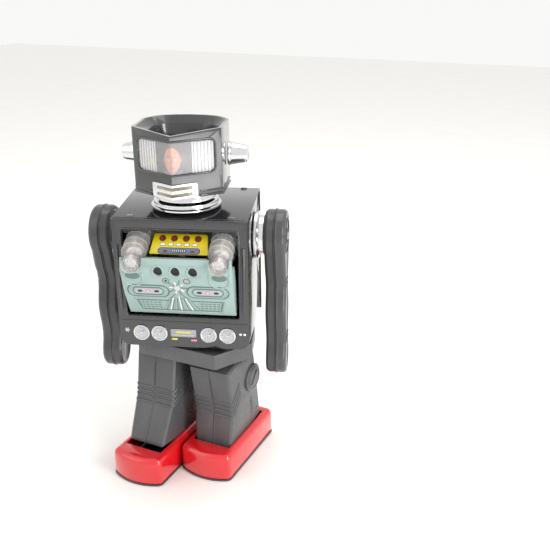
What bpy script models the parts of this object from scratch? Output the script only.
"""Battery-driven walking toy robot of lacquered tin and moulded plastic, about 29 cm tall.

It stands mid-stride with its upper body swivelled on the waist and its chest console tipped out.
Every piece is modelled in the frame of the joint that carries it: an empty on the joint's axis.
"""

import math

import bmesh
import bpy
from mathutils import Vector

GAP = 0.0003                      # between faces that touch on the real object
RUNNING = 0.0002                  # radial room of a pin in its hole

# Stance
SWING = math.radians(9.6)         # each leg's half swing about the hip axle
WAIST_YAW = math.radians(19.1)    # upper body turned to its left
CONSOLE_TILT = math.radians(18.5)

# Legs and feet
LEG_OFFSET = 0.0243               # leg centre from the middle of the body
LEG_LINK = 0.090                  # hip axle to ankle pin
LEG_HALF = 0.0186
LEG_ANKLE_HALF = 0.0170           # narrower where it enters the foot
LEG_WALL = 0.0012
LEG_FRONT = 0.0203
LEG_REAR = 0.0255
LEG_TOP = 0.006                   # below the hip axle
LEG_KNEE = 0.046
LEG_BOTTOM = 0.084
LEG_TOE_REACH = 0.0102            # how far the shin runs forward below the knee
BATTERY_RADIUS = 0.0171
BATTERY_LENGTH = 0.0615
CELL_TOP = 0.0085                 # below the hip axle
CELL_LOW = CELL_TOP + BATTERY_LENGTH + 0.003
CONTACT_HALF = 0.0060
BOSS_RADIUS = 0.0125
BOSS_RISE = 0.0028
BOSS_Y = 0.0170
BOSS_Z = 0.0355
LUG_RADIUS = 0.0046
LUG_THICKNESS = 0.0016
PIN_RADIUS = 0.0017
ANKLE_HEIGHT = 0.0152
FOOT_HALF = 0.0234
FOOT_TOE = 0.0515                 # ahead of the ankle pin
FOOT_HEEL = 0.0392
FOOT_TOE_RADIUS = 0.0450
FOOT_CORNER = 0.0050
FOOT_HEIGHT = 0.0250
FOOT_ROUND = 0.0055
FOOT_WALL = 0.0008
SOLE_RISE = 0.0004                # the rollers stand this far below the sole
SOLE_THICKNESS = 0.0016
SOLE_FLANGE = 0.0006
ROLLER_RADIUS = 0.0050
ROLLER_HALF = 0.0108
ROLLER_AXLE = 0.0010
RAIL_INNER = 0.0124
RAIL_WALL = 0.0015
ROLLER_PLACES = (-0.0300, 0.0220)

# Hips
HIP_FRONT_HALF = 0.0365
HIP_SIDE_HALF = 0.0530
HIP_REAR_HALF = 0.0400
HIP_FRONT = 0.0283
HIP_SIDE_Y = 0.0040
HIP_REAR = 0.0360
HIP_WALL = 0.0016
HIP_SKIRT = 0.0015                # rim of the walls below the hip axle
HIP_DECK = 0.0088                 # deck's top above the hip axle
HIP_RIM = 0.0112                  # rim of the walls above the hip axle
TURNTABLE_RADIUS = 0.0262
TURNTABLE_HOLE = 0.0212
CRANK_Y = 0.0140
CRANK_THROW = CRANK_Y * math.sin(SWING)
CRANK_SHAFT_RADIUS = 0.0014
CRANK_PIN_RADIUS = 0.0012
CRANK_WEB_RADIUS = 0.0046
CRANK_WEBS = (0.0041, 0.0052)     # inner and outer face of each web, from the middle
CRANK_PIN_END = 0.0088
CRANK_SLOT = (0.0040, 0.0022)     # half length and half height of the slot for a crank pin
CRANK_ARM = (0.0056, 0.0034)      # the same of the leg arm's slotted end
TOOTH_MODULE = 0.0008
CRANK_TEETH = 16
PINION_TEETH = 8
GEAR_SLOT = 0.0034                # half width of the slot in the deck over the crank gear
BEARING = (0.0024, 0.0037)        # inner and outer face of each crank bearing, from the middle
MOTOR_SHAFT = 0.0007
MOTOR_BOX = (0.0030, 0.0130)      # across, beside the pinion
MOTOR_CAN_RADIUS = 0.0048
SWIVEL_MODULE = 0.00125
SWIVEL_RING_TEETH = 36
SWIVEL_PINION_TEETH = 8

# Torso
TORSO_HALF = 0.0524
TORSO_FRONT = 0.0316
TORSO_REAR = 0.0440
TORSO_BASE = 0.1185
TORSO_TOP_FRONT = 0.2248
TORSO_TOP_REAR = 0.2300
TORSO_WALL = 0.0012
TORSO_FACE = 0.0030               # thickness of the window frame
TORSO_CORNER = 0.0080
WINDOW_HALF = 0.0448
WINDOW_LOW = 0.1452
WINDOW_HIGH = 0.2165
GAUGE_Z = 0.1303
GAUGE_RADIUS = 0.0067
GAUGE_PLACES = (-0.0345, -0.0199, 0.0199, 0.0350)
SWITCH_Z = 0.1480
SWITCH_TRAVEL = 0.0055
SWIVEL_FACE = 0.0036              # thickness of the swivel ring gear
FRAME_HALF = 0.0372
FRAME_WALL = 0.0012
BACKING = ((0.0140, 0.0150), (0.1860, 0.2205))

# Chest console, in its own tilted frame
HINGE_Y = -0.0305
HINGE_Z = 0.1470
CONSOLE_HALF = 0.0424
CONSOLE_HEIGHT = 0.0560
CONSOLE_MIDDLE = 0.0235
CONSOLE_WALL = 0.0014
CONSOLE_BACK = 0.0100
CONSOLE_PROFILE = (               # side view of the console's face (y, z), from its foot up
    (-0.0005, 0.0010), (-0.0045, 0.0240), (-0.0050, 0.0470), (0.0000, CONSOLE_HEIGHT),
    (CONSOLE_BACK, 0.0505),
)
CONSOLE_HOLES = (-0.0133, 0.0, 0.0133)
CONSOLE_HOLE_RADIUS = 0.0035
CONSOLE_HOLE_Z = 0.0468
COVER_FRONT = (0.0224, 0.0112, 0.0516)      # half width, y, z of the printed cover's front edge
COVER_REAR = (0.0200, 0.0268, 0.0592)
COVER_THICKNESS = 0.0012
CAM_RADIUS = 0.0100
CAM_Z = 0.1780
CAM_SHAFT = 0.0015
CAM_ROOM = 0.0012                 # between the lobe and the tipped-out console
GUN_X = 0.0332
GUN_Z = 0.0533
GUN_BARREL = 0.0070
GUN_BODY = 0.0094
GUN_LENGTH = 0.0380
GUN_LIFT = 0.0016                 # the body's axis above the snout's

# Head
HEAD_HALF = 0.0334
HEAD_CORNER_Y = -0.0218
HEAD_RIDGE_Y = -0.0430
HEAD_REAR = 0.0300
HEAD_BASE = 0.2439
HEAD_TOP = 0.2934
HEAD_RIDGE_TOP = 0.2903
HEAD_WALL = 0.0012
BUCKET_FLOOR = 0.2760
BUCKET_INSET = 0.0088             # bucket wall's outside at the floor, from the head's outline
BUCKET_FLARE = 0.0022
BUCKET_WALL = 0.0013
VISOR_HALF = 0.0285
VISOR_LOW = 0.2622
VISOR_HIGH = 0.2860
VISOR_CORNER = 0.0040
MOUTH_HALF = 0.0170
MOUTH_LOW = 0.2442
MOUTH_HIGH = 0.2552
EAR_Y = 0.0050
EAR_Z = 0.2685
EAR_TIP = 0.0490
EAR_BASE_RADIUS = 0.0098
EAR_TIP_RADIUS = 0.0058
NECK_RADIUS = 0.0254

# Arms
SHOULDER_Y = 0.0080
SHOULDER_Z = 0.2020
SHOULDER_RADIUS = 0.0210
ARM_INNER = 0.0618
ARM_OUTER = 0.0786
ARM_WALL = 0.0014
ARM_FLANGE = 0.0006               # the seam stands proud of the arm by this
ARM_EDGE = 0.0022                 # rounding of the arm's faces
DISC_RADIUS = 0.0195
SHOULDER_STUB = 0.0026
ARM_STATIONS = (                  # distance below the shoulder, half width
    (0.0210, 0.0150), (0.0400, 0.0085), (0.0640, 0.0140), (0.0890, 0.0095), (0.1075, 0.0145),
)
HAND_END = 0.1225

HIP_Z = ANKLE_HEIGHT + LEG_LINK * math.cos(SWING)
ROUND = 20                        # segments of a large circle


# ---------------------------------------------------------------- materials

def material(name, colour, metallic, roughness):
    made = bpy.data.materials.new(name)
    made.use_nodes = True
    shader = made.node_tree.nodes["Principled BSDF"]
    shader.inputs["Base Color"].default_value = (*colour, 1.0)
    shader.inputs["Metallic"].default_value = metallic
    shader.inputs["Roughness"].default_value = roughness
    made.diffuse_color = (*colour, 1.0)
    return made


def clear_scene():
    for obj in list(bpy.data.objects):
        bpy.data.objects.remove(obj, do_unlink=True)


# ---------------------------------------------------------------- outlines

def circle(radius, count=ROUND, centre=(0.0, 0.0)):
    turns = [2.0 * math.pi * i / count for i in range(count)]
    return [(centre[0] + radius * math.cos(t), centre[1] + radius * math.sin(t)) for t in turns]


def offset(outline, distance):
    """The counter-clockwise outline moved inwards by distance, with mitred corners."""
    moved = []
    for i, point in enumerate(outline):
        here = Vector(point)
        before = (here - Vector(outline[i - 1])).normalized()
        after = (Vector(outline[(i + 1) % len(outline)]) - here).normalized()
        normal = Vector((-before.y - after.y, before.x + after.x)).normalized()
        reach = distance / max(0.3, normal.dot(Vector((-before.y, before.x))))
        moved.append(tuple(here + normal * reach))
    return moved


def rounded(outline, radius, steps=3):
    """The outline with each corner replaced by an arc of that radius."""
    result = []
    for i, point in enumerate(outline):
        corner = Vector(point)
        before = (Vector(outline[i - 1]) - corner).normalized()
        after = (Vector(outline[(i + 1) % len(outline)]) - corner).normalized()
        half = before.angle(after) / 2.0
        start = corner + before * (radius / math.tan(half))
        end = corner + after * (radius / math.tan(half))
        centre = corner + (before + after).normalized() * (radius / math.sin(half))
        for step in range(steps + 1):
            blend = start.lerp(end, step / steps) - centre
            result.append(tuple(centre + blend.normalized() * radius))
    return result


def box_outline(low_a, high_a, low_b, high_b):
    return [(low_a, low_b), (high_a, low_b), (high_a, high_b), (low_a, high_b)]


def gear_outline(teeth, module, inward=False, phase=0.0):
    """Straight-flanked teeth. Inward gives the teeth of a ring gear."""
    pitch = teeth * module / 2.0
    way = -1.0 if inward else 1.0
    tip = pitch + way * 0.8 * module
    root = pitch - way * 1.1 * module
    points = []
    for tooth in range(teeth):
        middle = 2.0 * math.pi * (tooth + phase) / teeth
        for share, radius in ((-0.36, root), (-0.13, tip), (0.13, tip), (0.36, root)):
            angle = middle + share * 2.0 * math.pi / teeth
            points.append((radius * math.cos(angle), radius * math.sin(angle)))
    return points


# ---------------------------------------------------------------- solids

def place_on(axis, point, along):
    """A point of an outline, put at its place along an axis."""
    a, b = point
    return {"X": (along, a, b), "Y": (a, along, b), "Z": (a, b, along)}[axis]


def ring(outline, along, axis="Z"):
    return [place_on(axis, point, along) for point in outline]


def skin(rings, closed_loop=False):
    """A closed solid through rings of equally many points. A loop of rings has a hole through it."""
    bm = bmesh.new()
    rows = [[bm.verts.new(point) for point in points] for points in rings]
    count = len(rows[0])
    last = len(rows) if closed_loop else len(rows) - 1
    for i in range(last):
        low, high = rows[i], rows[(i + 1) % len(rows)]
        for j in range(count):
            k = (j + 1) % count
            bm.faces.new((low[j], low[k], high[k], high[j]))
    if not closed_loop:
        bm.faces.new(list(reversed(rows[0])))
        bm.faces.new(rows[-1])
    bmesh.ops.recalc_face_normals(bm, faces=bm.faces)
    return bm


def prism(outline, low, high, axis="Z"):
    return skin([ring(outline, low, axis), ring(outline, high, axis)])


def box(low, high):
    return prism(box_outline(low[0], high[0], low[1], high[1]), low[2], high[2])


def turned(profile, axis="Z", centre=(0.0, 0.0), count=ROUND, hollow=False):
    """A turned solid through (radius, place along the axis) pairs."""
    return skin([ring(circle(r, count, centre), t, axis) for r, t in profile], hollow)


def add(name, bm, look, parent, smooth=32.0):
    mesh = bpy.data.meshes.new(name)
    bm.to_mesh(mesh)
    bm.free()
    mesh.materials.append(look)
    mesh.shade_smooth()
    mesh.set_sharp_from_angle(angle=math.radians(smooth))
    obj = bpy.data.objects.new(name, mesh)
    bpy.context.scene.collection.objects.link(obj)
    obj.parent = parent
    return obj


def change(target, operation, *solids):
    """Cuts solids from a piece, or joins them to it, with helpers left out of the render."""
    look = target.data.materials[0]
    for number, bm in enumerate(solids):
        helper = add(f"{target.name}.{operation.lower()}{number}", bm, look, target.parent)
        helper.hide_render = True
        helper.display_type = "WIRE"
        modifier = target.modifiers.new(helper.name, "BOOLEAN")
        modifier.operation = operation
        modifier.solver = "EXACT"
        modifier.object = helper


def cut(target, *solids):
    change(target, "DIFFERENCE", *solids)


def join(target, *solids):
    change(target, "UNION", *solids)


def joint(name, parent, place=(0.0, 0.0, 0.0), turn=(0.0, 0.0, 0.0)):
    empty = bpy.data.objects.new(name, None)
    empty.empty_display_size = 0.01
    bpy.context.scene.collection.objects.link(empty)
    empty.parent = parent
    empty.location = place
    empty.rotation_euler = turn
    return empty


# ---------------------------------------------------------------- hips

def hip_outline():
    plan = [
        (-HIP_FRONT_HALF, -HIP_FRONT), (HIP_FRONT_HALF, -HIP_FRONT), (HIP_SIDE_HALF, HIP_SIDE_Y),
        (HIP_REAR_HALF, HIP_REAR), (-HIP_REAR_HALF, HIP_REAR), (-HIP_SIDE_HALF, HIP_SIDE_Y),
    ]
    return rounded(plan, 0.003)


def make_hips(robot, looks):
    """Tray-shaped hip casing with the turntable, the hip axle and the crank that walks the legs."""
    plan = hip_outline()
    inner = offset(plan, HIP_WALL)
    skirt, rim, deck = HIP_Z - HIP_SKIRT, HIP_Z + HIP_RIM, HIP_Z + HIP_DECK
    shell = add("hip_shell", skin([
        ring(inner, deck - HIP_WALL), ring(inner, skirt), ring(plan, skirt), ring(plan, rim),
        ring(inner, rim), ring(offset(plan, HIP_WALL + 0.0003), deck),
    ]), looks["grey_plastic"], robot)
    hanger = LEG_OFFSET + LEG_HALF + BOSS_RISE + 0.0006
    gear_room = TOOTH_MODULE * (CRANK_TEETH / 2.0 + 1.6)
    for side in (-1, 1):
        low, high = sorted((side * hanger, side * (hanger + HIP_WALL)))
        join(shell, box((low, -0.004, HIP_Z - 0.004), (high, 0.004, deck - HIP_WALL / 2.0)))
    axle_half = hanger + HIP_WALL
    cut(shell,
        prism(circle(PIN_RADIUS + RUNNING, 16, (0.0, HIP_Z)), -axle_half - GAP, axle_half + GAP, "X"),
        box((-GEAR_SLOT, CRANK_Y - gear_room, deck - 0.004), (GEAR_SLOT, CRANK_Y + gear_room, deck + 0.001)))
    add("hip_axle", prism(circle(PIN_RADIUS, 16, (0.0, HIP_Z)), -axle_half, axle_half, "X"),
        looks["steel"], robot)
    top = TORSO_BASE - GAP
    add("turntable", turned([
        (TURNTABLE_HOLE, deck + GAP), (TURNTABLE_RADIUS, deck + GAP), (TURNTABLE_RADIUS, top - 0.003),
        (TURNTABLE_RADIUS - 0.0006, top - 0.0024), (TURNTABLE_RADIUS - 0.0006, top),
        (TURNTABLE_HOLE, top),
    ], count=32, hollow=True), looks["black_lacquer"], robot)
    for side, name in ((-1, "crank_bearing_right"), (1, "crank_bearing_left")):
        low, high = sorted(side * face for face in BEARING)
        block = box((low, CRANK_Y - 0.005, HIP_Z - 0.004),
                    (high, CRANK_Y + 0.005, deck - HIP_WALL - GAP))
        bearing = add(name, block, looks["steel"], robot)
        bore = circle(CRANK_SHAFT_RADIUS + RUNNING, 16, (CRANK_Y, HIP_Z))
        cut(bearing, prism(bore, low - 0.001, high + 0.001, "X"))
    make_drive(robot, looks, deck)


def make_drive(robot, looks, deck):
    """Crankshaft with its gear, the geared motor above it, and the pinion that turns the upper body."""
    crank = joint("crank_turn", robot, (0.0, CRANK_Y, HIP_Z))
    middle = sum(CRANK_WEBS) / 2.0
    rod = turned([(CRANK_SHAFT_RADIUS, -middle), (CRANK_SHAFT_RADIUS, middle)], "X", count=12)
    shaft = add("crankshaft", rod, looks["steel"], crank)
    for side in (-1, 1):
        web = [(CRANK_WEB_RADIUS, side * face) for face in CRANK_WEBS]
        pin = [(CRANK_PIN_RADIUS, side * middle), (CRANK_PIN_RADIUS, side * CRANK_PIN_END)]
        join(shaft, turned(web, "X", count=16), turned(pin, "X", (0.0, side * CRANK_THROW), 10))
    wheel = prism(gear_outline(CRANK_TEETH, TOOTH_MODULE, phase=0.5), -0.0020, 0.0020, "X")
    gear = add("crank_gear", wheel, looks["white_plastic"], crank)
    bore = [(CRANK_SHAFT_RADIUS + GAP, -0.003), (CRANK_SHAFT_RADIUS + GAP, 0.003)]
    cut(gear, turned(bore, "X", count=12))
    centres = TOOTH_MODULE * (CRANK_TEETH + PINION_TEETH) / 2.0
    motor_z = HIP_Z + centres
    pinion = joint("motor_turn", robot, (0.0, CRANK_Y, motor_z))
    teeth = gear_outline(PINION_TEETH, TOOTH_MODULE, phase=-PINION_TEETH / 4.0)
    driver = add("motor_pinion", prism(teeth, -0.0019, 0.0019, "X"), looks["brass"], pinion)
    join(driver, turned([(MOTOR_SHAFT, -0.0030), (MOTOR_SHAFT, 0.0060)], "X", count=10))
    case = rounded(box_outline(*MOTOR_BOX, CRANK_Y - 0.010, CRANK_Y + 0.002), 0.002)
    motor = add("geared_motor", prism(case, deck + GAP, motor_z + 0.012), looks["black_plastic"], robot)
    can = [(MOTOR_CAN_RADIUS, motor_z + 0.011), (MOTOR_CAN_RADIUS, motor_z + 0.030),
           (MOTOR_CAN_RADIUS - 0.0018, motor_z + 0.0315)]
    join(motor, turned(can, centre=(sum(MOTOR_BOX) / 2.0, CRANK_Y - 0.0040), count=16))
    cut(motor, prism(circle(MOTOR_SHAFT + RUNNING, 10, (CRANK_Y, motor_z)), 0.002, 0.0075, "X"))
    swivel_distance = SWIVEL_MODULE * (SWIVEL_RING_TEETH - SWIVEL_PINION_TEETH) / 2.0
    low = TORSO_BASE + TORSO_WALL + GAP
    post = joint("swivel_pinion_turn", robot, (0.0, -swivel_distance, 0.0))
    teeth = gear_outline(SWIVEL_PINION_TEETH, SWIVEL_MODULE, phase=-SWIVEL_PINION_TEETH / 4.0)
    small = add("swivel_pinion", prism(teeth, low + 0.0004, low + SWIVEL_FACE), looks["brass"], post)
    join(small, turned([(0.0012, deck + GAP), (0.0012, low + 0.005)], count=12))


# ---------------------------------------------------------------- legs

def leg_profile(inset=0.0):
    """Side view of a leg (y, z) below the hip axle, counter-clockwise."""
    shin = LEG_FRONT + LEG_TOE_REACH
    profile = [
        (-LEG_FRONT, -LEG_TOP), (-LEG_FRONT, -LEG_KNEE), (-shin, -LEG_BOTTOM + 0.004), (-shin, -LEG_BOTTOM),
        (LEG_REAR + 0.002, -LEG_BOTTOM), (LEG_REAR, -LEG_KNEE), (LEG_REAR, -LEG_TOP - 0.008),
        (LEG_REAR - 0.008, -LEG_TOP),
    ]
    return offset(profile, inset)


def leg_ring(reach, inset):
    """A section of a leg half at that distance from the seam, tapered towards the ankle."""
    taper = LEG_HALF - LEG_ANKLE_HALF
    points = []
    for y, z in leg_profile(inset):
        share = min(1.0, max(0.0, (-z - LEG_KNEE) / (LEG_BOTTOM - LEG_KNEE - 0.004)))
        across = reach - math.copysign(taper * share, reach) if abs(reach) > LEG_HALF / 2.0 else reach
        points.append((across, y, z))
    return points


def cell_room():
    """Side view of the battery chamber, open through the rear wall."""
    front = -LEG_FRONT + LEG_WALL
    rear = LEG_REAR + 0.01
    return [(front, -CELL_TOP), (front, -CELL_LOW), (rear, -CELL_LOW), (rear, -CELL_TOP)]


def leg_half(name, side, leg, looks):
    """One moulded half of a leg. Side is the way its outer face looks along X."""
    sections = [leg_ring(side * GAP / 2.0, 0.0), leg_ring(side * (LEG_HALF - 0.0016), 0.0),
                leg_ring(side * LEG_HALF, 0.0016)]
    half = add(name, skin(sections), looks["grey_plastic"], leg)
    low, high = sorted((-side * 0.001, side * (LEG_HALF - LEG_WALL)))
    shin = -LEG_FRONT - LEG_TOE_REACH
    ankle_room = offset([
        (shin, -LEG_BOTTOM - 0.004), (LEG_REAR + 0.002, -LEG_BOTTOM - 0.004), (LEG_REAR, -CELL_LOW),
        (shin + LEG_TOE_REACH / 2.0, -CELL_LOW)], LEG_WALL)
    foot_low, foot_high = sorted((-side * 0.001, side * (LEG_ANKLE_HALF - LEG_WALL - 0.0004)))
    boss = side * (LEG_HALF - 0.0004)
    dome = [(BOSS_RADIUS, boss), (BOSS_RADIUS, boss + side * BOSS_RISE * 0.55),
            (BOSS_RADIUS * 0.86, boss + side * BOSS_RISE * 0.85),
            (BOSS_RADIUS * 0.55, boss + side * (BOSS_RISE + 0.0004))]
    join(half, turned(dome, "X", (BOSS_Y, -BOSS_Z), 18))
    cut(half, prism(cell_room(), low, high, "X"), prism(ankle_room, foot_low, foot_high, "X"))
    lug_face = side * (LEG_HALF - LEG_WALL)
    lug_low, lug_high = sorted((lug_face, lug_face - side * LUG_THICKNESS))
    root = -LEG_TOP - LEG_WALL
    pivot_lug = [(-LUG_RADIUS, root), (LUG_RADIUS, root), *circle(LUG_RADIUS, 12)[:7]]
    ankle_face = side * (RAIL_INNER - GAP)
    ankle_low, ankle_high = sorted((ankle_face, ankle_face - side * LUG_THICKNESS))
    root = -CELL_LOW - 0.0006
    ankle_lug = [(LUG_RADIUS, root), (-LUG_RADIUS, root),
                 *circle(LUG_RADIUS, 12, (0.0, -LEG_LINK))[6:], (LUG_RADIUS, -LEG_LINK)]
    join(half, prism(pivot_lug, lug_low, lug_high, "X"), prism(ankle_lug, ankle_low, ankle_high, "X"))
    reach = LEG_HALF + 0.002
    bore = [(PIN_RADIUS + RUNNING, -reach), (PIN_RADIUS + RUNNING, reach)]
    cut(half, turned(bore, "X", count=12), turned(bore, "X", (0.0, -LEG_LINK), 12))
    return half


def crank_lug(half, side):
    """Slotted arm behind the hip axle that rides on a crank pin."""
    face = side * (LEG_HALF - LEG_WALL)
    low, high = sorted((face, face - side * LUG_THICKNESS))
    reach, rise = CRANK_ARM
    arm = rounded(box_outline(0.002, CRANK_Y + reach, -rise, rise), 0.0010, 1)
    join(half, prism(arm, low, high, "X"))
    reach, rise = CRANK_SLOT
    slot = rounded(box_outline(CRANK_Y - reach, CRANK_Y + reach, -rise, rise), 0.0010, 1)
    cut(half, prism(slot, low - 0.001, high + 0.001, "X"))


def make_leg(name, outward, robot, looks):
    """A leg of two halves with its battery contacts and door, then the foot on its ankle pin."""
    turn = SWING if outward > 0 else -SWING
    leg = joint(f"{name}_leg_swing", robot, (outward * LEG_OFFSET, 0.0, HIP_Z), (turn, 0.0, 0.0))
    leg_half(f"{name}_leg_outer", outward, leg, looks)
    inner = leg_half(f"{name}_leg_inner", -outward, leg, looks)
    crank_lug(inner, -outward)
    centre = (0.0, -LEG_FRONT + LEG_WALL + BATTERY_RADIUS + 0.0006)
    coils = [(0.0075, GAP), (0.0075, 0.0008), (0.0045, 0.0022), (0.0015, 0.0026)]
    spring = turned([(r, rise - CELL_LOW) for r, rise in coils], centre=centre, count=14)
    add(f"{name}_battery_spring", spring, looks["steel"], leg)
    plate = box_outline(-CONTACT_HALF, CONTACT_HALF, centre[1] - CONTACT_HALF, centre[1] + CONTACT_HALF)
    contact = prism(rounded(plate, 0.001), -CELL_TOP - GAP - 0.0005, -CELL_TOP - GAP)
    add(f"{name}_battery_contact", contact, looks["brass"], leg)
    make_door(name, leg, looks)
    make_foot(name, leg, -turn, looks)


def make_door(name, leg, looks):
    """Battery door in the back of the leg, hinged along its lower edge."""
    hinge_z = 0.0014 - CELL_LOW
    skin_half = LEG_WALL / 2.0
    door = joint(f"{name}_door_open", leg, (0.0, LEG_REAR - skin_half, hinge_z))
    half = LEG_HALF - LEG_WALL - GAP
    top = -CELL_TOP - GAP - hinge_z
    sheet = prism(box_outline(-half, half, -skin_half, skin_half), 0.0002, top)
    panel = add(f"{name}_battery_door", sheet, looks["grey_plastic"], door)
    grip = rounded(box_outline(-0.006, 0.006, skin_half - 0.0002, skin_half + 0.0014), 0.0005)
    join(panel, prism(grip, top - 0.008, top - 0.005))


def foot_plan(half, toe, heel, corner, toe_radius):
    """Plan of a foot: a straight heel and a toe arc that runs smoothly into round corners."""
    toe_y = toe_radius - toe
    side = half - corner
    spread = math.asin(side / (toe_radius - corner))
    front_y = toe_y - (toe_radius - corner) * math.cos(spread)
    quarter, down = math.pi / 2.0, 1.5 * math.pi
    arcs = (
        (side, heel - corner, corner, 0.0, quarter, 4), (-side, heel - corner, corner, quarter, math.pi, 4),
        (-side, front_y, corner, math.pi, down - spread, 4),
        (0.0, toe_y, toe_radius, down - spread, down + spread, 8),
        (side, front_y, corner, down + spread, 2.0 * math.pi, 4),
    )
    points = []
    for x, y, radius, start, end, steps in arcs:
        inner = range(1, steps) if steps == 8 else range(steps + 1)
        for step in inner:
            angle = start + (end - start) * step / steps
            points.append((x + radius * math.cos(angle), y + radius * math.sin(angle)))
    return points


def make_foot(name, leg, turn, looks):
    """Red tin shoe over a black sole plate with rails for the ankle pin and two rollers."""
    foot = joint(f"{name}_ankle", leg, (0.0, 0.0, -LEG_LINK), (turn, 0.0, 0.0))
    sole = -ANKLE_HEIGHT + SOLE_RISE
    plate = sole + SOLE_THICKNESS
    low, top = plate + GAP, FOOT_HEIGHT - ANKLE_HEIGHT

    def plan(inset):
        return foot_plan(FOOT_HALF - inset, FOOT_TOE - inset, FOOT_HEEL - inset,
                         max(0.0015, FOOT_CORNER - inset), FOOT_TOE_RADIUS - inset)

    opening = foot_plan(LEG_ANKLE_HALF + 0.0013, LEG_FRONT + LEG_TOE_REACH + 0.0040,
                        LEG_REAR + 0.0042, 0.0015, 1.0)
    outer = [ring(plan(0.0), low)] + [ring(plan(i), z) for i, z in shoe_crown(top)]
    lining = [ring(plan(i + FOOT_WALL), z - FOOT_WALL) for i, z in reversed(shoe_crown(top))]
    lip = [ring(opening, top - 0.0004), ring(opening, top - FOOT_WALL - 0.0004)]
    upper = skin(outer + lip + lining + [ring(plan(FOOT_WALL), low)], True)
    add(f"{name}_foot_shell", upper, looks["red_lacquer"], foot)
    base = add(f"{name}_foot_sole", prism(plan(-SOLE_FLANGE), sole, plate), looks["black_lacquer"], foot)
    reach = RAIL_INNER + RAIL_WALL
    front, rear = ROLLER_PLACES[0] - LUG_RADIUS, ROLLER_PLACES[1] + LUG_RADIUS
    for side in (-1, 1):
        low_x, high_x = sorted((side * RAIL_INNER, side * reach))
        join(base, box((low_x, front, plate - 0.0005), (high_x, rear, sole + 0.0095)),
             box((low_x, -0.0050, sole + 0.005), (high_x, 0.0050, 0.0036)))
    axle_z = ROLLER_RADIUS - ANKLE_HEIGHT
    span = reach + 0.001
    holes = [turned([(PIN_RADIUS + RUNNING, -span), (PIN_RADIUS + RUNNING, span)], "X", count=12)]
    bore = [(ROLLER_AXLE + RUNNING, -span), (ROLLER_AXLE + RUNNING, span)]
    for y in ROLLER_PLACES:
        holes.append(turned(bore, "X", (y, axle_z), 12))
        holes.append(box((-ROLLER_HALF - 0.0006, y - ROLLER_RADIUS, sole - 0.001),
                         (ROLLER_HALF + 0.0006, y + ROLLER_RADIUS, plate + 0.001)))
    cut(base, *holes)
    pin = [(PIN_RADIUS, -reach - 0.0008), (PIN_RADIUS, reach + 0.0008)]
    add(f"{name}_ankle_pin", turned(pin, "X", count=12), looks["steel"], foot)
    barrel = [
        (ROLLER_AXLE, -reach), (ROLLER_AXLE, -ROLLER_HALF), (ROLLER_RADIUS, -ROLLER_HALF),
        (ROLLER_RADIUS, ROLLER_HALF), (ROLLER_AXLE, ROLLER_HALF), (ROLLER_AXLE, reach),
    ]
    for place, y in zip(("front", "rear"), ROLLER_PLACES):
        roll = joint(f"{name}_{place}_roll", foot, (0.0, y, axle_z))
        add(f"{name}_{place}_roller", turned(barrel, "X", count=16), looks["rubber"], roll)


def shoe_crown(top):
    """(inset, height) pairs of the shoe's rounded upper edge, from the wall up to the top."""
    turns = [math.radians(22.5 * k) for k in range(5)]
    return [(FOOT_ROUND * (1.0 - math.cos(a)), top - FOOT_ROUND * (1.0 - math.sin(a))) for a in turns]


# ---------------------------------------------------------------- torso

def torso_face(inset, top):
    """Front view of the torso (x, z) with round lower corners."""
    half, base, corner = TORSO_HALF - inset, TORSO_BASE + inset, TORSO_CORNER - inset
    points = [(-half, top - inset)]
    for centre, start in ((-half + corner, 0.5), (half - corner, 0.75)):
        for step in range(6):
            angle = 2.0 * math.pi * (start + step / 20.0)
            points.append((centre + corner * math.cos(angle), base + corner + corner * math.sin(angle)))
    points.append((half, top - inset))
    return points


def torso_top(y):
    """Height of the roof at that depth."""
    share = (y + TORSO_FRONT) / (TORSO_REAR + TORSO_FRONT)
    return TORSO_TOP_FRONT + (TORSO_TOP_REAR - TORSO_TOP_FRONT) * share


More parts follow.
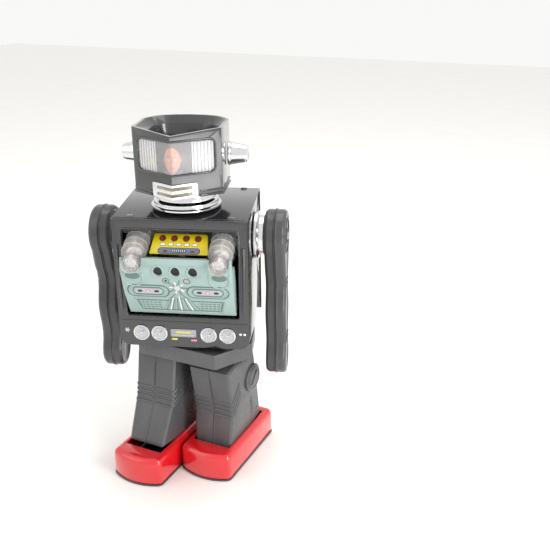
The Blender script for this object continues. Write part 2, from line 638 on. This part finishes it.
def make_torso(torso, looks):
    """Lacquered tin body: face frame, sides, roof and floor in one shell, closed by a back cover."""
    ends = (-TORSO_FRONT, TORSO_REAR)
    body = skin([ring(torso_face(0.0, torso_top(y)), y, "Y") for y in ends])
    shell = add("torso_shell", body, looks["black_lacquer"], torso)
    inside = (-TORSO_FRONT + TORSO_FACE, TORSO_REAR + 0.001)
    pitch_radius = SWIVEL_MODULE * SWIVEL_RING_TEETH / 2.0
    window = rounded(box_outline(-WINDOW_HALF, WINDOW_HALF, WINDOW_LOW, WINDOW_HIGH), 0.0015)
    cut(shell, skin([ring(torso_face(TORSO_WALL, torso_top(y)), y, "Y") for y in inside]),
        prism(window, -TORSO_FRONT - 0.001, -TORSO_FRONT + TORSO_FACE + 0.001, "Y"),
        prism(circle(pitch_radius + 0.0018, 32), TORSO_BASE - 0.001, TORSO_BASE + 0.003))
    for side in (-1, 1):
        low, high = sorted((side * (TORSO_HALF - 0.003), side * (TORSO_HALF + 0.001)))
        bore = [(SHOULDER_STUB + 0.0004, low), (SHOULDER_STUB + 0.0004, high)]
        cut(shell, turned(bore, "X", (SHOULDER_Y, SHOULDER_Z), 16))
    near, far = TORSO_REAR + GAP, TORSO_REAR + GAP + TORSO_WALL
    sheet = prism(torso_face(0.0, TORSO_TOP_REAR), near, far, "Y")
    cover = add("back_cover", sheet, looks["black_lacquer"], torso)
    cut(cover, box((-0.0015, TORSO_REAR, SWITCH_Z - 0.0035),
                   (0.0015, TORSO_REAR + 0.004, SWITCH_Z + SWITCH_TRAVEL + 0.0020)))
    switch = joint("switch_slide", torso, (0.0, far, SWITCH_Z))
    knob = add("power_switch", box((-0.0030, GAP, -0.0025), (0.0030, 0.0030, 0.0025)), looks["red_plastic"], switch)
    join(knob, box((-0.0011, -0.0030, -0.0015), (0.0011, 0.0010, 0.0015)))
    low = TORSO_BASE + TORSO_WALL + GAP
    teeth = gear_outline(SWIVEL_RING_TEETH, SWIVEL_MODULE, True, 0.5 - SWIVEL_RING_TEETH / 4.0)
    around = [tuple(Vector(p).normalized() * (pitch_radius + 0.0042)) for p in teeth]
    high = low + SWIVEL_FACE
    band = skin([ring(teeth, low), ring(around, low), ring(around, high), ring(teeth, high)], True)
    ring_gear = add("swivel_ring", band, looks["white_plastic"], torso)
    ring_gear.rotation_euler.z = -WAIST_YAW
    seat = -TORSO_FRONT - GAP
    bezel = [(GAUGE_RADIUS, seat), (GAUGE_RADIUS, seat - 0.0006), (GAUGE_RADIUS - 0.0010, seat - 0.0011)]
    for number, x in enumerate(GAUGE_PLACES, 1):
        add(f"gauge_{number}", turned(bezel, "Y", (x, GAUGE_Z), 16), looks["chrome"], torso)
    make_inner_frame(torso, looks)


def make_inner_frame(torso, looks):
    """Bent steel frame in the torso that carries the cam shaft, with the bright backing behind the guns."""
    floor = TORSO_BASE + TORSO_WALL + GAP + SWIVEL_FACE + GAP
    half, front, rear = FRAME_HALF, -0.018, 0.034
    base = prism(box_outline(-half, half, -0.026, rear), floor, floor + FRAME_WALL)
    frame = add("inner_frame", base, looks["steel"], torso)
    cam_y = cam_place()
    edge = cam_y - 0.005
    side_view = [
        (front, floor + 0.0004), (rear, floor + 0.0004), (rear, CAM_Z + 0.006), (edge, CAM_Z + 0.006),
        (edge, CAM_Z - 0.006), (front, CAM_Z - 0.010),
    ]
    for side in (-1, 1):
        low, high = sorted((side * half, side * (half - FRAME_WALL)))
        join(frame, prism(side_view, low, high, "X"))
    span = half + 0.001
    opening = circle(SWIVEL_MODULE * SWIVEL_RING_TEETH / 2.0 - 0.0005, 24)
    cut(frame, prism(opening, floor - 0.001, floor + FRAME_WALL + 0.001),
        turned([(CAM_SHAFT + RUNNING, -span), (CAM_SHAFT + RUNNING, span)], "X", (cam_y, CAM_Z), 16))
    cam = joint("cam_turn", torso, (0.0, cam_y, CAM_Z))
    rod = turned([(CAM_SHAFT, -span), (CAM_SHAFT, span)], "X", count=12)
    lobe = add("tilt_cam", rod, looks["white_plastic"], cam)
    join(lobe, turned([(CAM_RADIUS, -0.0025), (CAM_RADIUS, 0.0025)], "X", (-cam_throw(), 0.0), 20))
    sheet = box_outline(-TORSO_HALF + 0.003, TORSO_HALF - 0.003, *BACKING[0])
    add("chest_backing", prism(sheet, *BACKING[1]), looks["chrome"], torso)


def cam_throw():
    return (CAM_Z - HINGE_Z) * math.sin(CONSOLE_TILT) / 2.0


def cam_place():
    """Depth of the cam shaft: the lobe just clears the back of the tipped-out console."""
    face = CONSOLE_PROFILE[2][0] + CONSOLE_WALL
    rear = HINGE_Y + face * math.cos(CONSOLE_TILT) - (CAM_Z - HINGE_Z) * math.tan(CONSOLE_TILT)
    return rear + CAM_ROOM + cam_throw() + CAM_RADIUS


def make_console(torso, looks):
    """Moulded chest console on a hinge along its foot, with two clear guns lying in its cradles."""
    console = joint("console_tilt", torso, (0.0, HINGE_Y, HINGE_Z), (CONSOLE_TILT, 0.0, 0.0))
    side_view = [(CONSOLE_BACK, CONSOLE_PROFILE[0][1]), *reversed(CONSOLE_PROFILE)]
    block = prism(side_view, -CONSOLE_HALF, CONSOLE_HALF, "X")
    panel = add("chest_console", block, looks["mint_plastic"], console)
    inner = offset(side_view, CONSOLE_WALL)
    inner = [(y + CONSOLE_BACK if y > CONSOLE_BACK / 2.0 else y, z) for y, z in inner]
    cut(panel, prism(inner, -CONSOLE_HALF + CONSOLE_WALL, CONSOLE_HALF - CONSOLE_WALL, "X"))
    for side in (-1, 1):
        x = side * GUN_X
        room = GUN_BARREL + GAP
        inner_x, outer_x = sorted((side * (CONSOLE_MIDDLE + 0.0003), side * (CONSOLE_HALF + 0.001)))
        cut(panel, turned([(room, -0.008), (room, 0.014)], "Y", (x, GUN_Z), 16),
            box((x - room, -0.008, GUN_Z), (x + room, 0.014, GUN_Z + 0.02)),
            box((inner_x, 0.0022, GUN_Z - GUN_BODY - 0.0014), (outer_x, 0.020, GUN_Z + 0.02)))
        make_gun("right" if side < 0 else "left", x, console, looks)
    bore = [(CONSOLE_HOLE_RADIUS, -0.010), (CONSOLE_HOLE_RADIUS, 0.002)]
    cut(panel, *[turned(bore, "Y", (x, CONSOLE_HOLE_Z), 12) for x in CONSOLE_HOLES])
    (near, *front), (far, *rear) = COVER_FRONT, COVER_REAR
    top = [(-near, *front), (near, *front), (far, *rear), (-far, *rear)]
    slope = math.atan2(rear[1] - front[1], rear[0] - front[0])
    into = (COVER_THICKNESS * math.sin(slope), -COVER_THICKNESS * math.cos(slope))
    under = [(x, y + into[0], z + into[1]) for x, y, z in top]
    add("printed_cover", skin([top, under]), looks["yellow_tin"], console)


def make_gun(name, x, console, looks):
    """Clear moulded gun: a round snout on a fuller body, with a lamp behind it."""
    stations = (
        (GUN_BARREL - 0.0012, -0.0070, 0.0), (GUN_BARREL, -0.0062, 0.0), (GUN_BARREL, 0.0028, 0.0),
        (GUN_BODY - 0.0010, 0.0040, GUN_LIFT), (GUN_BODY, 0.0056, GUN_LIFT),
        (GUN_BODY, GUN_LENGTH - 0.004, GUN_LIFT), (GUN_BODY - 0.003, GUN_LENGTH - 0.002, GUN_LIFT),
    )
    sections = [ring(circle(radius, 16, (x, GUN_Z + rise)), y, "Y") for radius, y, rise in stations]
    add(f"{name}_gun", skin(sections), looks["clear_plastic"], console)
    socket = GUN_LENGTH + 0.002
    bulb = [
        (0.0030, GUN_LENGTH - 0.002 + GAP), (0.0030, socket), (0.0038, socket), (0.0038, socket + 0.0035),
        (0.0018, socket + 0.0045),
    ]
    lamp = turned(bulb, "Y", (x, GUN_Z + GUN_LIFT), 16)
    add(f"{name}_lamp", lamp, looks["brass"], console)


# ---------------------------------------------------------------- head

def head_plan(inset=0.0):
    """Plan of the head, counter-clockwise: vertical ridge in front, straight sides, round back."""
    half, rear = HEAD_HALF, HEAD_REAR
    back = []
    for step in range(7):
        angle = math.radians(15.0 + 25.0 * step)
        back.append((0.86 * half * math.cos(angle), rear - 0.013 + 0.013 * math.sin(angle)))
    outline = [
        (0.0, HEAD_RIDGE_Y), (half, HEAD_CORNER_Y), (half, rear - 0.019), *back,
        (-half, rear - 0.019), (-half, HEAD_CORNER_Y),
    ]
    return offset(outline, inset)


def head_rim(inset, drop=0.0):
    """The head's outline at the rim, which dips towards the front ridge."""
    points = []
    for index, (x, y) in enumerate(head_plan(inset)):
        points.append((x, y, (HEAD_RIDGE_TOP if index == 0 else HEAD_TOP) - drop))
    return points


def front_y(x, ahead=0.0):
    """Depth of the head's V-shaped front at x, moved ahead of it."""
    return HEAD_RIDGE_Y + (HEAD_CORNER_Y - HEAD_RIDGE_Y) * abs(x) / HEAD_HALF - ahead


def front_plate(half, low, high, corner, front, back):
    """A plate bent along the head's front ridge, with round corners, between two depths ahead of it."""
    full = rounded(box_outline(-half, half, low, high), corner, 3)
    quarter = len(full) // 4
    with_ridge = full[:quarter] + [(0.0, low)] + full[quarter:3 * quarter] + [(0.0, high)] + full[3 * quarter:]
    bm = bmesh.new()
    layers = []
    for ahead in (front, back):
        layers.append([bm.verts.new((x, front_y(x, ahead), z)) for x, z in with_ridge])
    count = len(with_ridge)
    for i in range(count):
        k = (i + 1) % count
        bm.faces.new((layers[0][i], layers[0][k], layers[1][k], layers[1][i]))
    low_ridge, high_ridge = quarter, 3 * quarter + 1
    for layer in layers:
        bm.faces.new(layer[low_ridge:high_ridge + 1])
        bm.faces.new(layer[high_ridge:] + layer[:low_ridge + 1])
    bmesh.ops.recalc_face_normals(bm, faces=bm.faces)
    return bm


def make_head(torso, looks):
    """Helmet open at the top like a bucket, with visor, face, mouth grille, ears and chrome neck."""
    outside = skin([ring(head_plan(), HEAD_BASE), head_rim(0.0)])
    head = add("head_shell", outside, looks["black_lacquer"], torso)
    cut(head, skin([ring(head_plan(HEAD_WALL), HEAD_BASE - 0.001), head_rim(HEAD_WALL, 0.0030)]))
    join(head, skin([
        ring(head_plan(BUCKET_INSET), BUCKET_FLOOR - HEAD_WALL),
        ring(head_plan(BUCKET_INSET - BUCKET_FLARE), HEAD_RIDGE_TOP - 0.0030),
        head_rim(HEAD_WALL / 2.0, 0.0004)]))
    window = front_plate(VISOR_HALF, VISOR_LOW, VISOR_HIGH, VISOR_CORNER, 0.004, -0.004)
    cut(head, skin([
        ring(head_plan(BUCKET_INSET + BUCKET_WALL), BUCKET_FLOOR),
        ring(head_plan(BUCKET_INSET + BUCKET_WALL - BUCKET_FLARE), HEAD_RIDGE_TOP - 0.0024),
        head_rim(HEAD_WALL, -0.0008)]), window)
    half, low, high = VISOR_HALF - GAP, VISOR_LOW + GAP, VISOR_HIGH - GAP
    pane = front_plate(half, low, high, VISOR_CORNER - GAP, 0.0004, -0.0008)
    add("visor", pane, looks["clear_plastic"], torso)
    card = front_plate(half, VISOR_LOW - 0.0010, VISOR_HIGH - 0.0012, VISOR_CORNER, -0.0020, -0.0028)
    add("face_plate", card, looks["printed_card"], torso)
    plate = front_plate(MOUTH_HALF, MOUTH_LOW, MOUTH_HIGH, 0.0012, GAP + 0.0012, GAP)
    grille = add("mouth_grille", plate, looks["chrome"], torso)
    pitch = (MOUTH_HIGH - MOUTH_LOW) / 3.0
    for level in (MOUTH_LOW + pitch * 0.85, MOUTH_LOW + pitch * 2.15):
        cut(grille, front_plate(MOUTH_HALF - 0.004, level - 0.0011, level + 0.0011, 0.0005, 0.004, -0.001))
    span = EAR_TIP - HEAD_HALF
    steps = (
        (EAR_BASE_RADIUS, GAP), (EAR_BASE_RADIUS, 0.0012), (EAR_BASE_RADIUS - 0.0010, 0.0016),
        (EAR_TIP_RADIUS + 0.0008, span - 0.0030), (EAR_TIP_RADIUS, span - 0.0010),
        (EAR_TIP_RADIUS - 0.0018, span),
    )
    for side, name in ((-1, "right_ear"), (1, "left_ear")):
        ear = turned([(r, side * (HEAD_HALF + t)) for r, t in steps], "X", (EAR_Y, EAR_Z), 16)
        add(name, ear, looks["chrome"], torso)
    seat = torso_top(NECK_RADIUS) + GAP
    add("neck_ring", turned([
        (NECK_RADIUS + 0.0020, seat), (NECK_RADIUS + 0.0020, seat + 0.0016), (NECK_RADIUS, seat + 0.0022),
        (NECK_RADIUS, seat + 0.0052), (NECK_RADIUS - 0.0014, seat + 0.0062), (NECK_RADIUS - 0.0022, seat + 0.0068),
        (NECK_RADIUS - 0.0022, seat + 0.0100), (NECK_RADIUS - 0.0040, HEAD_BASE - GAP),
    ], count=28), looks["chrome"], torso)


# ---------------------------------------------------------------- arms

def arm_outline(inset=0.0, steps=3):
    """Side view of an arm about the shoulder: a disc, then a wavy bar with a round hand, counter-clockwise."""
    left = []
    for i in range(9):
        angle = math.radians(90.0 + 16.0 * i)
        left.append((SHOULDER_RADIUS * math.cos(angle), SHOULDER_RADIUS * math.sin(angle)))
    for (low, narrow), (far, wide) in zip(ARM_STATIONS, ARM_STATIONS[1:]):
        for step in range(1, steps + 1):
            blend = 0.5 - 0.5 * math.cos(math.pi * step / steps)
            left.append((-(narrow + (wide - narrow) * blend), -(low + (far - low) * step / steps)))
    depth, half = ARM_STATIONS[-1]
    for i in range(1, 5):
        angle = math.radians(22.5 * i)
        left.append((-half * math.cos(angle), -depth - (HAND_END - depth) * math.sin(angle)))
    right = [(-y, z) for y, z in reversed(left[1:-1])]
    return offset(left + right, inset)


def make_arm(name, side, torso, looks):
    """An arm of two plastic halves on a chrome shoulder disc."""
    arm = joint(f"{name}_shoulder", torso, (0.0, SHOULDER_Y, SHOULDER_Z))
    seam = side * (ARM_INNER + ARM_OUTER) / 2.0
    for half_name, face in (("inner", side * ARM_INNER), ("outer", side * ARM_OUTER)):
        way = 1.0 if face > seam else -1.0
        outside = (
            (-ARM_FLANGE, seam + way * GAP / 2.0), (-ARM_FLANGE, seam + way * 0.0008),
            (0.0, seam + way * 0.0012), (0.0, face - way * ARM_EDGE), (ARM_EDGE - ARM_FLANGE, face),
        )
        room = (
            (ARM_WALL, seam - way * 0.001), (ARM_WALL, face - way * ARM_EDGE),
            (ARM_WALL + 0.0012, face - way * ARM_WALL),
        )
        body = skin([ring(arm_outline(inset), x, "X") for inset, x in outside])
        shell = add(f"{name}_arm_{half_name}", body, looks["grey_plastic"], arm)
        cut(shell, skin([ring(arm_outline(inset), x, "X") for inset, x in room]))
    near, far = side * (TORSO_HALF + GAP), side * (ARM_INNER - GAP)
    step = DISC_RADIUS - 0.0012
    face = turned([
        (DISC_RADIUS - 0.0010, near), (DISC_RADIUS, near + side * 0.0008),
        (DISC_RADIUS, far - side * 0.0035), (step, far - side * 0.0028), (step, far)], "X", count=24)
    disc = add(f"{name}_shoulder_disc", face, looks["chrome"], arm)
    stub = [(SHOULDER_STUB, side * (TORSO_HALF - 0.004)), (SHOULDER_STUB, near + side * 0.001)]
    join(disc, turned(stub, "X", count=12))


# ---------------------------------------------------------------- whole robot

def centre_on_floor(robot):
    """Moves the robot so that the origin is the middle of its bounding box, at floor level."""
    bpy.context.view_layer.update()
    graph = bpy.context.evaluated_depsgraph_get()
    low, high = Vector((1e9,) * 3), Vector((-1e9,) * 3)
    for obj in bpy.context.scene.objects:
        if obj.type != "MESH" or obj.hide_render:
            continue
        evaluated = obj.evaluated_get(graph)
        for vertex in evaluated.data.vertices:
            point = evaluated.matrix_world @ vertex.co
            low = Vector(map(min, low, point))
            high = Vector(map(max, high, point))
    robot.location = (-(low.x + high.x) / 2.0, -(low.y + high.y) / 2.0, -low.z)


def make_looks():
    return {
        "black_lacquer": material("black_lacquer", (0.028, 0.027, 0.028), 0.5, 0.2),
        "red_lacquer": material("red_lacquer", (0.56, 0.01, 0.013), 0.3, 0.15),
        "grey_plastic": material("grey_plastic", (0.05, 0.05, 0.052), 0.0, 0.38),
        "black_plastic": material("black_plastic", (0.015, 0.015, 0.015), 0.0, 0.5),
        "white_plastic": material("white_plastic", (0.75, 0.73, 0.68), 0.0, 0.4),
        "red_plastic": material("red_plastic", (0.5, 0.02, 0.02), 0.0, 0.35),
        "mint_plastic": material("mint_plastic", (0.38, 0.55, 0.52), 0.0, 0.35),
        "clear_plastic": material("clear_plastic", (0.85, 0.86, 0.87), 0.0, 0.08),
        "yellow_tin": material("yellow_tin", (0.85, 0.70, 0.03), 0.2, 0.3),
        "printed_card": material("printed_card", (0.62, 0.42, 0.34), 0.0, 0.6),
        "chrome": material("chrome", (0.78, 0.79, 0.80), 1.0, 0.12),
        "steel": material("steel", (0.5, 0.5, 0.5), 1.0, 0.35),
        "brass": material("brass", (0.7, 0.52, 0.2), 1.0, 0.3),
        "rubber": material("rubber", (0.03, 0.03, 0.03), 0.0, 0.8),
    }


def main():
    clear_scene()
    looks = make_looks()
    robot = joint("robot", None)
    make_hips(robot, looks)
    make_leg("right", -1, robot, looks)
    make_leg("left", 1, robot, looks)
    torso = joint("waist_swivel", robot, turn=(0.0, 0.0, WAIST_YAW))
    make_torso(torso, looks)
    make_console(torso, looks)
    make_head(torso, looks)
    make_arm("right", -1, torso, looks)
    make_arm("left", 1, torso, looks)
    centre_on_floor(robot)


main()
